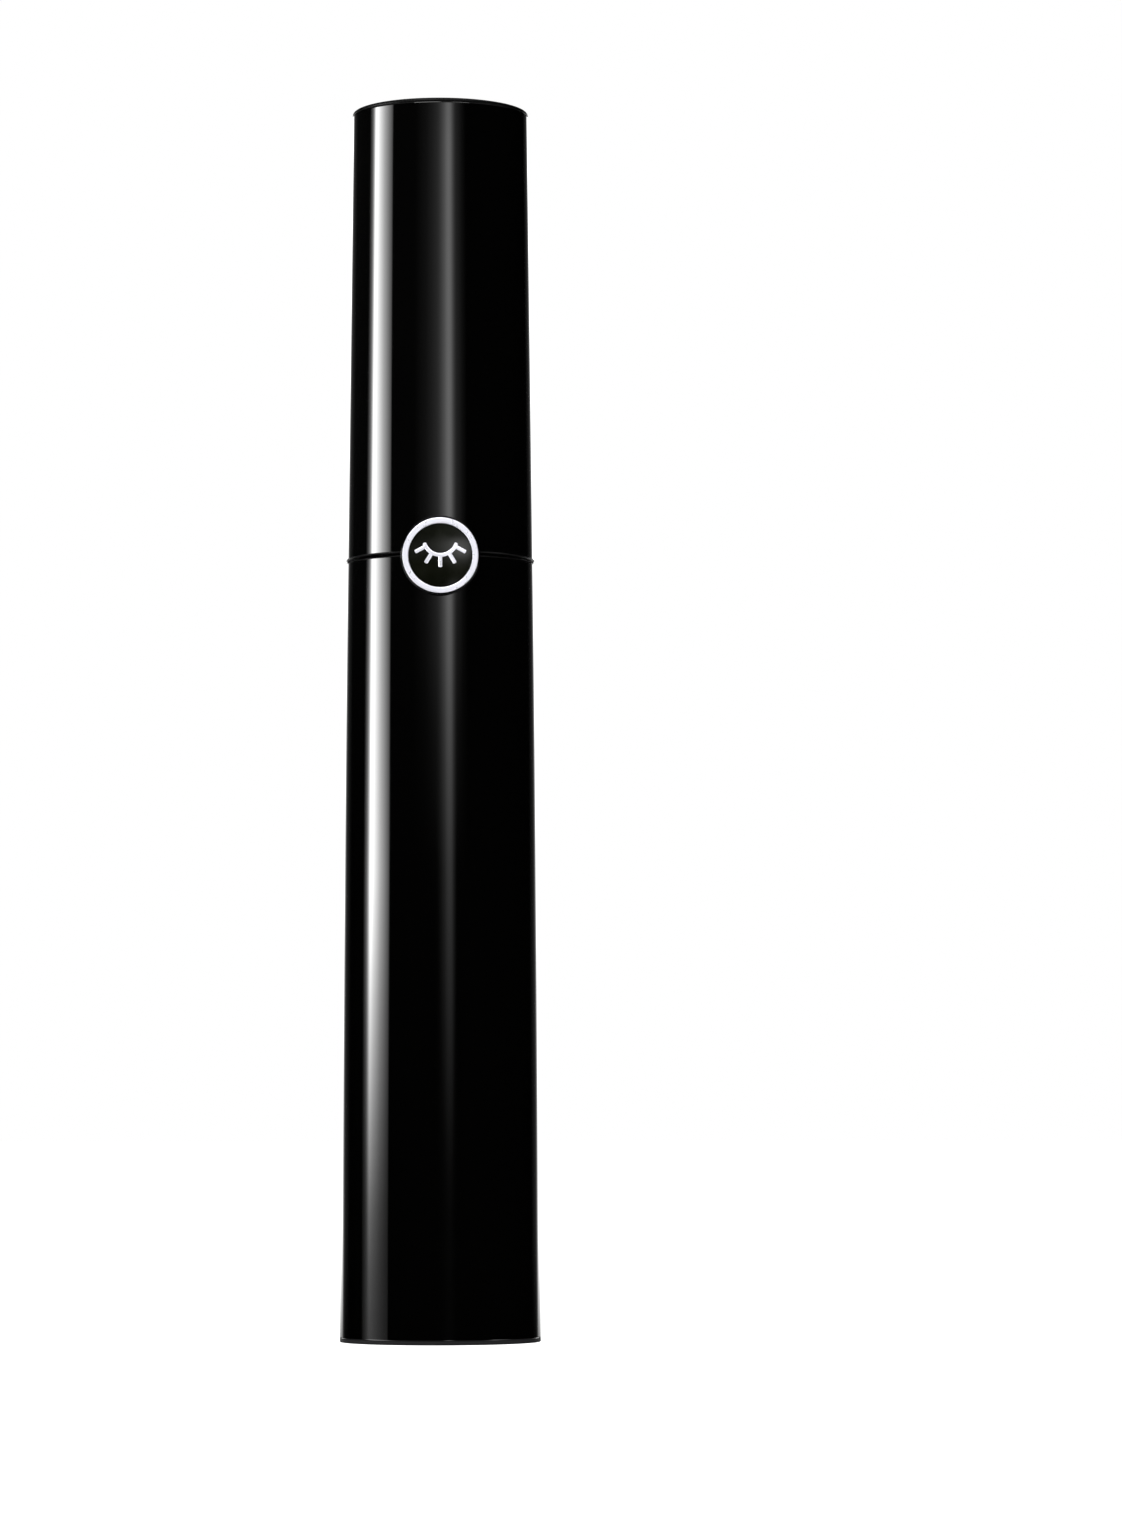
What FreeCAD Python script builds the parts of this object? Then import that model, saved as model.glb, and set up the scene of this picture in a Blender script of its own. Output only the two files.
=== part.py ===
import FreeCAD, Part
import os

# A mascara tube, closed: outer tube with an inner bottle, and a screw cap that carries the wand and
# the brush. Millimetres. The origin is the centre of the base, +Z is up, the medallion faces -Y.

os.makedirs("parts", exist_ok=True)

# ---- outside of the closed pack
TOTAL_HEIGHT = 132.0
SEAM_HEIGHT = 83.2          # middle of the gap between tube and cap
SEAM_GAP = 0.20
BASE_DIAMETER = 21.38
SEAM_DIAMETER = 20.20
TOP_DIAMETER = 18.92
END_RIM = 0.42              # height of the rim of each closing disc
SEAM_ROUND = 0.20           # rounding of the two edges at the seam
END_ROUND = 0.25            # rounding of the outermost edges
GROOVE_ROUND = 0.10         # rounding that makes the fine line beside a closing disc

# ---- outer tube and base
TUBE_WALL = 1.10            # where the tube is thinnest, at the seam
BASE_SPIGOT = 3.0
BASE_SPIGOT_WALL = 1.2
BASE_FLOOR = 1.0
LABEL_RECESS = 0.30
LABEL_THICKNESS = 0.12
BASE_RIM_WIDTH = 2.4        # flat ring that the pack stands on

# ---- bottle, collar, wiper, washer
BOTTLE_WALL = 0.9
BOTTLE_FLOOR = 1.2
NECK_HEIGHT = 13.0          # neck above the seam
NECK_WALL = 1.1
SHOULDER_DROP = 3.0         # from the collar's top down to the bottle's shoulder
SHOULDER_RISE = 1.6
THREAD_PITCH = 3.0
THREAD_TURNS = 1.5
THREAD_DEPTH = 0.45
THREAD_WIDTH = 1.3          # at its foot
THREAD_CREST = 0.33         # flat top of the bead
THREAD_ROOT = 0.15          # how far the bead starts inside the wall that carries it
THREAD_START = 2.2          # above the seam
WIPER_FLANGE = 0.6
WIPER_LENGTH = 8.0
WIPER_WALL = 0.6
WIPER_FUNNEL = 2.6
WIPER_LIP = 0.7
WASHER_THICKNESS = 0.40
WASHER_WIDTH = 1.35
WASHER_CLEAR = 0.15         # from the washer's edge to the cap's bore

# ---- cap
CAP_WALL = 1.0              # where the cap is thinnest
DISC_SPIGOT = 2.5
DISC_SPIGOT_WALL = 1.2
INNER_CAP_WALL = 1.1
WAIST_RELIEF = 0.25         # least step from the inner cap's bands down to its waist
INNER_CAP_BAND = 2.4        # height of the bands that grip the shell
INNER_CAP_ROOF = 1.4
SOCKET_WALL = 1.0
RIB_THICKNESS = 0.9
RIB_COUNT = 4
WEIGHT_LENGTH = 12.0

# ---- wand
ROD_DIAMETER = 3.56
ROD_TIP_DIAMETER = 2.2
ROD_TAPER = 0.16            # how much thinner the rod is above its rounded tip
ROD_SHOULDER = 5.2          # length of the rounded tip
ROD_SHOULDER_PULL = 1.3     # height above the tip at which its curve bends most
ROD_HEAD_DIAMETER = 5.2
ROD_HEAD_LENGTH = 10.0
BRUSH_LENGTH = 25.4
BRUSH_DIAMETER = 7.3
BRUSH_TIP_DIAMETER = 4.8
BRUSH_TIP_TAPER = 7.0
WIRE_DIAMETER = 1.0
WIRE_LOOP_DIAMETER = 1.3
WIRE_IN_ROD = 8.0

# ---- medallion
MEDALLION_DIAMETER = 8.35
MEDALLION_BELOW_SEAM = 0.30
MEDALLION_THICKNESS = 0.62  # at its thinnest, in front of the tube
MEDALLION_POCKET = 0.34
RING_OUTER = 8.04
RING_INNER = 6.78
RING_PROUD = 0.04
DOME_EDGE = 0.12
DOME_CROWN = 0.36
MOTIF_PROUD = 0.06
MOTIF_LINE = 0.42
LASH_COUNT = 5
LASH_LENGTH = 1.30
LASH_ARC_RADIUS = 1.75
LASH_SPREAD = 124.0         # degrees between the outer lashes
LID_SPREAD = 150.0          # degrees that the lid line covers
PEG_DIAMETER = 1.1
PEG_OFFSET = 1.6
PEG_RISE = 1.75             # pegs above the cap's lower edge

# ---- clearances
FIT = 0.02                  # between pieces pressed or glued together
RUN = 0.05                  # radial, where one piece turns or slides in another
SEAL_GAP = 0.02             # between the washer and what it closes against
SWEEP_CLEAR = 0.15          # between the overhanging medallion and the tube
LOOSE = 0.30                # bottle in tube
BRUSH_CLEAR = 0.80          # brush in neck
TIP_CLEAR = 2.6             # brush tip above the bottle's floor
END_PLAY = 0.20             # along the axis, between stacked inner pieces

# ---- derived places
base_r = BASE_DIAMETER / 2
seam_r = SEAM_DIAMETER / 2
top_r = TOP_DIAMETER / 2
tube_top = SEAM_HEIGHT - SEAM_GAP / 2
cap_bottom = SEAM_HEIGHT + SEAM_GAP / 2
shell_top = TOTAL_HEIGHT - END_RIM
tube_bore_r = seam_r - TUBE_WALL
cap_bore_r = min(top_r, seam_r) - CAP_WALL
bottle_r = tube_bore_r - LOOSE
bottle_bottom = BASE_SPIGOT + END_RIM + END_PLAY
bottle_inner_r = bottle_r - BOTTLE_WALL
neck_bore_r = BRUSH_DIAMETER / 2 + BRUSH_CLEAR
neck_r = neck_bore_r + NECK_WALL
neck_top = SEAM_HEIGHT + NECK_HEIGHT
shoulder_z = SEAM_HEIGHT - SHOULDER_DROP
thread_crest_r = neck_r + THREAD_DEPTH
cap_thread_r = thread_crest_r + RUN
cap_thread_root_r = cap_thread_r + THREAD_DEPTH
washer_bottom = SEAM_HEIGHT + SEAL_GAP
washer_top = washer_bottom + WASHER_THICKNESS
washer_r = cap_bore_r - WASHER_CLEAR
inner_cap_bottom = washer_top + SEAL_GAP
wiper_top = neck_top + WIPER_FLANGE
roof_z = wiper_top + END_PLAY
roof_top = roof_z + INNER_CAP_ROOF
weight_top = shell_top - DISC_SPIGOT - END_PLAY
weight_bottom = weight_top - WEIGHT_LENGTH
socket_top = weight_bottom - END_PLAY
rod_r = ROD_DIAMETER / 2
head_r = ROD_HEAD_DIAMETER / 2
socket_r = head_r + FIT
head_bottom = roof_z + END_PLAY
brush_tip = bottle_bottom + BOTTLE_FLOOR + TIP_CLEAR
rod_bottom = brush_tip + BRUSH_LENGTH
wire_r = WIRE_DIAMETER / 2
medallion_z = SEAM_HEIGHT - MEDALLION_BELOW_SEAM
medallion_r = MEDALLION_DIAMETER / 2

UP = FreeCAD.Vector(0, 0, 1)
FORWARD = FreeCAD.Vector(0, -1, 0)
ORIGIN = FreeCAD.Vector(0, 0, 0)


def tube_radius(z):
    """Radius of the outer tube: it falls with the square of the height."""
    return base_r - (base_r - seam_r) * (z / SEAM_HEIGHT) ** 2


def cap_radius(z):
    """Radius of the cap: it falls evenly from the seam to the closed end."""
    return seam_r - (seam_r - top_r) * (z - SEAM_HEIGHT) / (TOTAL_HEIGHT - SEAM_HEIGHT)


def at(r, z):
    return FreeCAD.Vector(r, 0, z)


def line(a, b):
    return Part.LineSegment(a, b).toShape()


def spin(edges):
    """Solid of revolution about Z from a closed outline of edges."""
    face = Part.Face(Part.Wire(edges))
    return face.revolve(ORIGIN, UP, 360)


def lathe(*points):
    """Solid of revolution about Z from (radius, height) corners."""
    corners = [at(r, z) for r, z in points]
    return spin([line(a, b) for a, b in zip(corners, corners[1:] + corners[:1])])


def disc(r, z0, z1):
    return Part.makeCylinder(r, z1 - z0, at(0, z0))


def ring(r_in, r_out, z0, z1):
    return disc(r_out, z0, z1).cut(disc(r_in, z0, z1))


def barrel(z0, z1):
    """Solid under the outer tube's curved wall between two heights (a parabola, as a Bezier)."""
    slope = -2 * (base_r - seam_r) * z0 / SEAM_HEIGHT ** 2
    half = (z1 - z0) / 2
    wall = Part.BezierCurve()
    wall.setPoles([at(tube_radius(z0), z0), at(tube_radius(z0) + slope * half, z0 + half),
                   at(tube_radius(z1), z1)])
    return spin([line(at(0, z0), at(tube_radius(z0), z0)), wall.toShape(),
                 line(at(tube_radius(z1), z1), at(0, z1)), line(at(0, z1), at(0, z0))])


def cone(z0, z1):
    return Part.makeCone(cap_radius(z0), cap_radius(z1), z1 - z0, at(0, z0))


def round_rim(shape, r, z, amount):
    """Rounds the circular edge of radius r at height z."""
    def is_rim(edge):
        box = edge.BoundBox
        return box.ZLength < FIT and abs(box.ZMin - z) < FIT and abs(box.XMax - r) < FIT
    return shape.makeFillet(amount, [e for e in shape.Edges if is_rim(e)])


def coin(r, y_front, y_back, z):
    """Disc whose axis is Y, from y_front to y_back."""
    return Part.makeCylinder(r, y_back - y_front, FreeCAD.Vector(0, y_front, z), -FORWARD)


def thread(radius, outward):
    """Helical bead on a cylinder, outside or inside it; its root lies in the wall so that they join."""
    side = 1 if outward else -1
    root = radius - side * THREAD_ROOT
    crest = radius + side * THREAD_DEPTH
    z0 = SEAM_HEIGHT + THREAD_START
    path = Part.makeHelix(THREAD_PITCH, THREAD_PITCH * THREAD_TURNS, root)
    path.translate(at(0, z0))
    corners = [at(root, z0 - THREAD_WIDTH / 2), at(crest, z0 - THREAD_CREST / 2),
               at(crest, z0 + THREAD_CREST / 2), at(root, z0 + THREAD_WIDTH / 2)]
    profile = Part.Wire([line(a, b) for a, b in zip(corners, corners[1:] + corners[:1])])
    bead = Part.Wire(path).makePipeShell([profile], True, True)
    return bead if bead.Volume > 0 else bead.reversed()


# ---- the tube
def make_outer_tube():
    body = barrel(END_RIM, tube_top)
    body = round_rim(body, tube_radius(tube_top), tube_top, SEAM_ROUND)
    body = round_rim(body, tube_radius(END_RIM), END_RIM, GROOVE_ROUND)
    return body.cut(disc(tube_bore_r, 0, TOTAL_HEIGHT))


def make_base_plug():
    rim = round_rim(disc(base_r, 0, END_RIM), base_r, END_RIM, GROOVE_ROUND)
    rim = round_rim(rim, base_r, 0, END_ROUND)
    spigot_r = tube_bore_r - FIT
    spigot = ring(spigot_r - BASE_SPIGOT_WALL, spigot_r, 0, END_RIM + BASE_SPIGOT)
    floor = disc(spigot_r, LABEL_RECESS, LABEL_RECESS + BASE_FLOOR)
    recess = disc(base_r - BASE_RIM_WIDTH, 0, LABEL_RECESS)
    return rim.fuse(spigot).fuse(floor).cut(recess).removeSplitter()


def make_base_label():
    return disc(base_r - BASE_RIM_WIDTH - RUN, LABEL_RECESS - LABEL_THICKNESS, LABEL_RECESS)


def make_bottle():
    neck_foot = shoulder_z
    outside = lathe((0, bottle_bottom), (bottle_r, bottle_bottom),
                    (bottle_r, neck_foot - SHOULDER_RISE), (neck_r, neck_foot),
                    (neck_r, neck_top), (0, neck_top))
    outside = round_rim(outside, bottle_r, bottle_bottom, BOTTLE_WALL)
    inside = lathe((0, bottle_bottom + BOTTLE_FLOOR), (bottle_inner_r, bottle_bottom + BOTTLE_FLOOR),
                   (bottle_inner_r, neck_foot - SHOULDER_RISE - BOTTLE_WALL),
                   (neck_bore_r, neck_foot - BOTTLE_WALL), (neck_bore_r, neck_top), (0, neck_top))
    return outside.fuse(thread(neck_r, True)).cut(inside)


def make_neck_collar():
    body = ring(neck_r + RUN, tube_bore_r - FIT, shoulder_z + END_PLAY, SEAM_HEIGHT)
    return round_rim(body, tube_bore_r - FIT, SEAM_HEIGHT, GROOVE_ROUND)


def make_wiper():
    plug_r = neck_bore_r - FIT
    bore_r = plug_r - WIPER_WALL
    orifice_r = rod_r + RUN
    plug_bottom = neck_top - WIPER_LENGTH
    lip_bottom = plug_bottom - WIPER_FUNNEL
    return lathe((bore_r, wiper_top), (neck_r - RUN, wiper_top), (neck_r - RUN, neck_top),
                 (plug_r, neck_top), (plug_r, plug_bottom), (orifice_r + WIPER_WALL, lip_bottom),
                 (orifice_r, lip_bottom), (orifice_r, lip_bottom + WIPER_LIP),
                 (bore_r, plug_bottom + WIPER_LIP))


def make_seal_washer():
    return ring(washer_r - WASHER_WIDTH, washer_r, washer_bottom, washer_top)


# ---- the cap
def peg(x, r, y_front, y_back):
    place = FreeCAD.Vector(x, y_front, cap_bottom + PEG_RISE)
    return Part.makeCylinder(r, y_back - y_front, place, -FORWARD)


def pegs(r, y_front, y_back):
    return peg(PEG_OFFSET, r, y_front, y_back).fuse(peg(-PEG_OFFSET, r, y_front, y_back))


def make_cap_shell():
    body = round_rim(cone(cap_bottom, shell_top), cap_radius(cap_bottom), cap_bottom, SEAM_ROUND)
    body = round_rim(body, cap_radius(shell_top), shell_top, GROOVE_ROUND)
    body = body.cut(disc(cap_bore_r, cap_bottom, TOTAL_HEIGHT))
    return body.cut(pegs(PEG_DIAMETER / 2 + FIT, -base_r, 0))


def make_cap_top_disc():
    rim = round_rim(cone(shell_top, TOTAL_HEIGHT), top_r, TOTAL_HEIGHT, END_ROUND)
    rim = round_rim(rim, cap_radius(shell_top), shell_top, GROOVE_ROUND)
    spigot_r = cap_bore_r - FIT
    return rim.fuse(ring(spigot_r - DISC_SPIGOT_WALL, spigot_r, shell_top - DISC_SPIGOT, shell_top))


def make_inner_cap():
    grip_r = cap_bore_r - FIT
    waist_r = min(cap_thread_root_r + INNER_CAP_WALL, cap_bore_r - FIT - WAIST_RELIEF)
    skirt = lathe((cap_thread_root_r, inner_cap_bottom), (grip_r, inner_cap_bottom),
                  (grip_r, inner_cap_bottom + INNER_CAP_BAND),
                  (waist_r, inner_cap_bottom + INNER_CAP_BAND), (waist_r, roof_top - INNER_CAP_BAND),
                  (grip_r, roof_top - INNER_CAP_BAND), (grip_r, roof_top), (socket_r, roof_top),
                  (socket_r, roof_z), (cap_thread_root_r, roof_z))
    tower = ring(socket_r, socket_r + SOCKET_WALL, roof_top, socket_top - SOCKET_WALL)
    tower = tower.fuse(disc(socket_r + SOCKET_WALL, socket_top - SOCKET_WALL, socket_top))
    for k in range(RIB_COUNT):
        rib = Part.makeBox(grip_r - socket_r - SOCKET_WALL / 2, RIB_THICKNESS, socket_top - roof_top,
                           FreeCAD.Vector(socket_r + SOCKET_WALL / 2, -RIB_THICKNESS / 2, roof_top))
        rib = rib.common(disc(grip_r, roof_top, socket_top))
        rib.rotate(ORIGIN, UP, (k + 0.5) * 360 / RIB_COUNT)
        tower = tower.fuse(rib)
    return skirt.fuse(thread(cap_thread_root_r, False)).fuse(tower)


def make_cap_weight():
    body = disc(cap_bore_r - RUN, weight_bottom, weight_top)
    body = round_rim(body, cap_bore_r - RUN, weight_bottom, END_ROUND)
    return round_rim(body, cap_bore_r - RUN, weight_top, END_ROUND)


# ---- the wand
def make_rod():
    foot_r = ROD_TIP_DIAMETER / 2
    stem_r = rod_r - ROD_TAPER / 2
    stem_foot = rod_bottom + ROD_SHOULDER
    head_top = head_bottom + ROD_HEAD_LENGTH
    shoulder = Part.BezierCurve()
    shoulder.setPoles([at(foot_r, rod_bottom), at(stem_r, rod_bottom + ROD_SHOULDER_PULL),
                       at(stem_r, stem_foot)])
    outline = [at(stem_r, stem_foot), at(rod_r, roof_z), at(head_r, head_bottom),
               at(head_r, head_top), at(0, head_top), at(0, rod_bottom), at(foot_r, rod_bottom)]
    body = spin([shoulder.toShape()] + [line(a, b) for a, b in zip(outline, outline[1:])])
    return body.cut(disc(wire_r + FIT, rod_bottom, rod_bottom + WIRE_IN_ROD))


def make_brush_wire():
    loop_r = WIRE_LOOP_DIAMETER / 2
    stem = disc(wire_r, brush_tip + loop_r, rod_bottom + WIRE_IN_ROD - END_PLAY)
    return stem.fuse(Part.makeSphere(loop_r, at(0, brush_tip + loop_r)))


def make_bristles():
    low = brush_tip + WIRE_LOOP_DIAMETER
    high = rod_bottom - END_PLAY
    bore = wire_r + FIT
    tip_r = BRUSH_TIP_DIAMETER / 2
    full_r = BRUSH_DIAMETER / 2
    return lathe((bore, low), (tip_r, low), (full_r, low + BRUSH_TIP_TAPER), (full_r, high),
                 (bore, high))


# ---- the medallion
def medallion_back_radius():
    """The coin clears the tube where it hangs over it, and the cap at the seam."""
    return max(tube_radius(medallion_z - medallion_r), seam_r) + SWEEP_CLEAR


def front_y():
    return -(medallion_back_radius() + MEDALLION_THICKNESS)


def pocket_y():
    return front_y() + MEDALLION_POCKET


def make_medallion_carrier():
    blank = coin(medallion_r, front_y(), 0, medallion_z)
    below = disc(medallion_back_radius(), 0, cap_bottom)
    glue_r = cap_radius(cap_bottom) + FIT
    above = Part.makeCone(glue_r, top_r + FIT, TOTAL_HEIGHT - cap_bottom, at(0, cap_bottom))
    body = blank.cut(below).cut(above)
    body = body.cut(coin(RING_OUTER / 2 + FIT, front_y(), pocket_y(), medallion_z))
    return body.fuse(pegs(PEG_DIAMETER / 2, pocket_y() + FIT, -cap_bore_r))


def make_medallion_ring():
    outer = coin(RING_OUTER / 2, front_y() - RING_PROUD, pocket_y(), medallion_z)
    return outer.cut(coin(RING_INNER / 2, front_y() - RING_PROUD, pocket_y(), medallion_z))


def dome_ball(extra):
    """Ball whose front is the dome's crowned face, grown by extra."""
    r = RING_INNER / 2 - FIT
    rise = DOME_CROWN - DOME_EDGE
    ball_r = (r ** 2 + rise ** 2) / (2 * rise)
    centre = FreeCAD.Vector(0, pocket_y() - DOME_CROWN + ball_r, medallion_z)
    return Part.makeSphere(ball_r + extra, centre, UP, -90, 90, 360)


def make_medallion_dome():
    blank = coin(RING_INNER / 2 - FIT, pocket_y() - DOME_CROWN, pocket_y(), medallion_z)
    return blank.common(dome_ball(0))


def stroke(angle):
    """One lash in the XY plane, pointing away from the origin, at an angle from +Y."""
    bar = Part.makeBox(MOTIF_LINE, LASH_LENGTH + MOTIF_LINE / 2, MEDALLION_THICKNESS)
    bar.translate(FreeCAD.Vector(-MOTIF_LINE / 2, LASH_ARC_RADIUS - MOTIF_LINE / 2, 0))
    bar.rotate(ORIGIN, UP, angle)
    return bar


def lid_line():
    """The lid in the XY plane: part of a flat ring, LID_SPREAD degrees wide, centred on +Y."""
    half = MOTIF_LINE / 2
    band = Part.makeCylinder(LASH_ARC_RADIUS + half, MEDALLION_THICKNESS, ORIGIN, UP, LID_SPREAD)
    band = band.cut(disc(LASH_ARC_RADIUS - half, 0, MEDALLION_THICKNESS))
    band.rotate(ORIGIN, UP, 90 - LID_SPREAD / 2)
    return band


def sign_height():
    """Height of the lid's centre above the medallion's, so that the sign sits in the middle."""
    lid_end = at(LASH_ARC_RADIUS, 0)
    lid_end = FreeCAD.Rotation(FORWARD, 90 - LID_SPREAD / 2).multVec(lid_end)
    return (abs(lid_end.z) + LASH_ARC_RADIUS + LASH_LENGTH) / 2


def make_medallion_motif():
    """A closed lid with lashes below it, drawn flat, stood up and trimmed to a skin on the dome."""
    sign = lid_line()
    for k in range(LASH_COUNT):
        sign = sign.fuse(stroke(LASH_SPREAD * (k / (LASH_COUNT - 1) - 0.5)))
    sign.rotate(ORIGIN, UP, 180)
    sign.rotate(ORIGIN, FreeCAD.Vector(1, 0, 0), 90)
    sign.translate(FreeCAD.Vector(0, pocket_y(), medallion_z + sign_height()))
    skin = dome_ball(MOTIF_PROUD).cut(dome_ball(0))
    return sign.common(skin).removeSplitter()


NODES = {
    "outer_tube": make_outer_tube,
    "base_plug": make_base_plug,
    "base_label": make_base_label,
    "bottle": make_bottle,
    "neck_collar": make_neck_collar,
    "wiper": make_wiper,
    "seal_washer": make_seal_washer,
    "cap_shell": make_cap_shell,
    "cap_top_disc": make_cap_top_disc,
    "inner_cap": make_inner_cap,
    "cap_weight": make_cap_weight,
    "rod": make_rod,
    "brush_wire": make_brush_wire,
    "bristles": make_bristles,
    "medallion_carrier": make_medallion_carrier,
    "medallion_ring": make_medallion_ring,
    "medallion_dome": make_medallion_dome,
    "medallion_motif": make_medallion_motif,
}

for name, make in NODES.items():
    shape = make()
    if not shape.isValid() or len(shape.Solids) != 1:
        print("check", name, "valid", shape.isValid(), "solids", len(shape.Solids))
    shape.exportStep("parts/" + name + ".step")
    box = shape.BoundBox
    print("%-18s %9.2f mm3  x %.2f..%.2f  y %.2f..%.2f  z %.2f..%.2f" % (
        name, shape.Volume, box.XMin, box.XMax, box.YMin, box.YMax, box.ZMin, box.ZMax))
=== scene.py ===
# %% [markdown]
# # A mascara tube, piece by piece
# A slim black pack of two lacquered parts: a tube with the bottle inside it, and a screw cap that
# carries the rod and the brush. The CAD model gives every place and size. Here each visible piece
# gets a smooth skin and the finish of the real material.
# The pack is almost all gloss black. Black gloss shows no colour of its own, only what it reflects,
# so two things decide the look: surfaces without facets, and well placed light.

# %% Load the frame
import math
import bmesh
import bpy
import numpy as np
from mathutils import Matrix, Vector


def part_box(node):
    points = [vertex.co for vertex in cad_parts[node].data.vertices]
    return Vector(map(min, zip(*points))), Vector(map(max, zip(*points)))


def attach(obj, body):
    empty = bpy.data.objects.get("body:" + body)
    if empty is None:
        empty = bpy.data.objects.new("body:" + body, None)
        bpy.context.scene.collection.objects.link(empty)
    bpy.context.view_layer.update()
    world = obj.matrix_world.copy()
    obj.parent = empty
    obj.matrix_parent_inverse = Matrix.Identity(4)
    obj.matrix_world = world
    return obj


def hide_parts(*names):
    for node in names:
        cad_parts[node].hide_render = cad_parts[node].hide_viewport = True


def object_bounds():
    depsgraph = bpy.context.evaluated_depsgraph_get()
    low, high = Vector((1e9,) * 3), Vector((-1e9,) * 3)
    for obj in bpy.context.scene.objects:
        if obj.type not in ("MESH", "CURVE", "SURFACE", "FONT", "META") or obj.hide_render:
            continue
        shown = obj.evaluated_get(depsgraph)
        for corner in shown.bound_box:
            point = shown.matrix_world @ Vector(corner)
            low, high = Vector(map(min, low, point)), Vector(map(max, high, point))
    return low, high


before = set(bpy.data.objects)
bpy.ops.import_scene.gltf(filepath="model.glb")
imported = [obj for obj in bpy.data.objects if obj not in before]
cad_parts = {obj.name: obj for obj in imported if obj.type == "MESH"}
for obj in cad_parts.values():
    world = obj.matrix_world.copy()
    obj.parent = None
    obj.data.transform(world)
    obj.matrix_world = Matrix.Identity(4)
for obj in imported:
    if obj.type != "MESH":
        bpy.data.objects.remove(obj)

cad_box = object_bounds()
print("CAD box, mm:", [[round(1000 * c, 2) for c in corner] for corner in cad_box])

# %% [markdown]
# ## The sizes that the skins share
# All of them are in millimetres. The outer tube is a little barrel shaped: its radius falls with
# the square of the height, which keeps the wall upright at the foot and leans it in at the seam.
# The cap carries on from there as a plain cone. Heights of the loose pieces are read from the
# frame's boxes, so that a skin can't drift away from its CAD solid.

# %% Sizes and the two outer walls
MM = 0.001
SEAM = 83.2                 # middle of the gap between tube and cap
BASE_R, SEAM_R, TOP_R = 10.69, 10.10, 9.46
TUBE_BORE, CAP_BORE = 9.0, 8.46
SNUG = 0.02                 # between pieces that are pressed or glued together
END_RIM = 0.42              # height of the thin discs that close the two ends
HEIGHT = round(cad_box[1].z / MM, 3)


def tube_radius(z):
    """Base radius less (base radius - seam radius) times (z / seam height) squared."""
    return BASE_R - (BASE_R - SEAM_R) * (np.asarray(z, float) / SEAM) ** 2


def cap_radius(z):
    """Straight line from the seam radius down to the top radius."""
    return SEAM_R - (SEAM_R - TOP_R) * (np.asarray(z, float) - SEAM) / (HEIGHT - SEAM)


def span(node, axis=2):
    """Lowest and highest coordinate of a CAD node along an axis, in millimetres."""
    low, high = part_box(node)
    return low[axis] / MM, high[axis] / MM


print("height", HEIGHT, "tube", span("outer_tube"), "cap", span("cap_shell"))

# %% [markdown]
# ## From a grid of points to a mesh
# Every new skin is a grid: rows along a profile, columns around it or across it. numpy works out
# all the points at once, and neighbouring points become four-sided faces. Rows run so that
# (next column) x (next row) points outwards, which makes every face look the right way.
# Where a row shrinks to one point, as on the axis, its copies are merged, which closes the pole.

# %% Grid to mesh
def skin(name, points, around=True, along=False):
    """Mesh from points[row, column]. around joins the last column to the first, along the last row
    to the first. Face corners: (r, c), (r, c+1), (r+1, c+1), (r+1, c)."""
    points = np.asarray(points, float)
    rows, columns = points.shape[:2]
    index = np.arange(rows * columns).reshape(rows, columns)
    if around:
        index = np.concatenate([index, index[:, :1]], axis=1)
    if along:
        index = np.concatenate([index, index[:1]], axis=0)
    faces = np.stack([index[:-1, :-1], index[:-1, 1:], index[1:, 1:], index[1:, :-1]], axis=-1)
    return mesh_object(name, points.reshape(-1, 3), faces.reshape(-1, 4))


def mesh_object(name, points, faces, sharp=40.0):
    """Object at the origin from points in millimetres; doubles merged, smooth shaded, with the
    edges that turn by more than `sharp` degrees kept crisp."""
    mesh = bpy.data.meshes.new(name)
    mesh.from_pydata((points * MM).tolist(), [], faces.tolist())
    work = bmesh.new()
    work.from_mesh(mesh)
    bmesh.ops.remove_doubles(work, verts=work.verts, dist=2e-7)
    work.to_mesh(mesh)
    work.free()
    mesh.shade_smooth()
    mesh.set_sharp_from_angle(angle=math.radians(sharp))
    made = bpy.data.objects.new(name, mesh)
    bpy.context.scene.collection.objects.link(made)
    return made


# %% [markdown]
# ## Turned profiles
# Nearly every piece is round, so it is turned on a lathe: an outline of radius and height is
# carried round the Z axis. Real moulded corners are never knife sharp, and on gloss black it is the
# rounded corner that draws the bright line, so each corner takes a true arc. Beside each arc sits
# one extra row close to it. It holds the smooth shading of the small arc away from the long wall,
# which would otherwise look bent.

# %% Outline and lathe
ARC_STEPS = 7
HOLD = 0.05                 # distance of the holding row from the end of an arc


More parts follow.
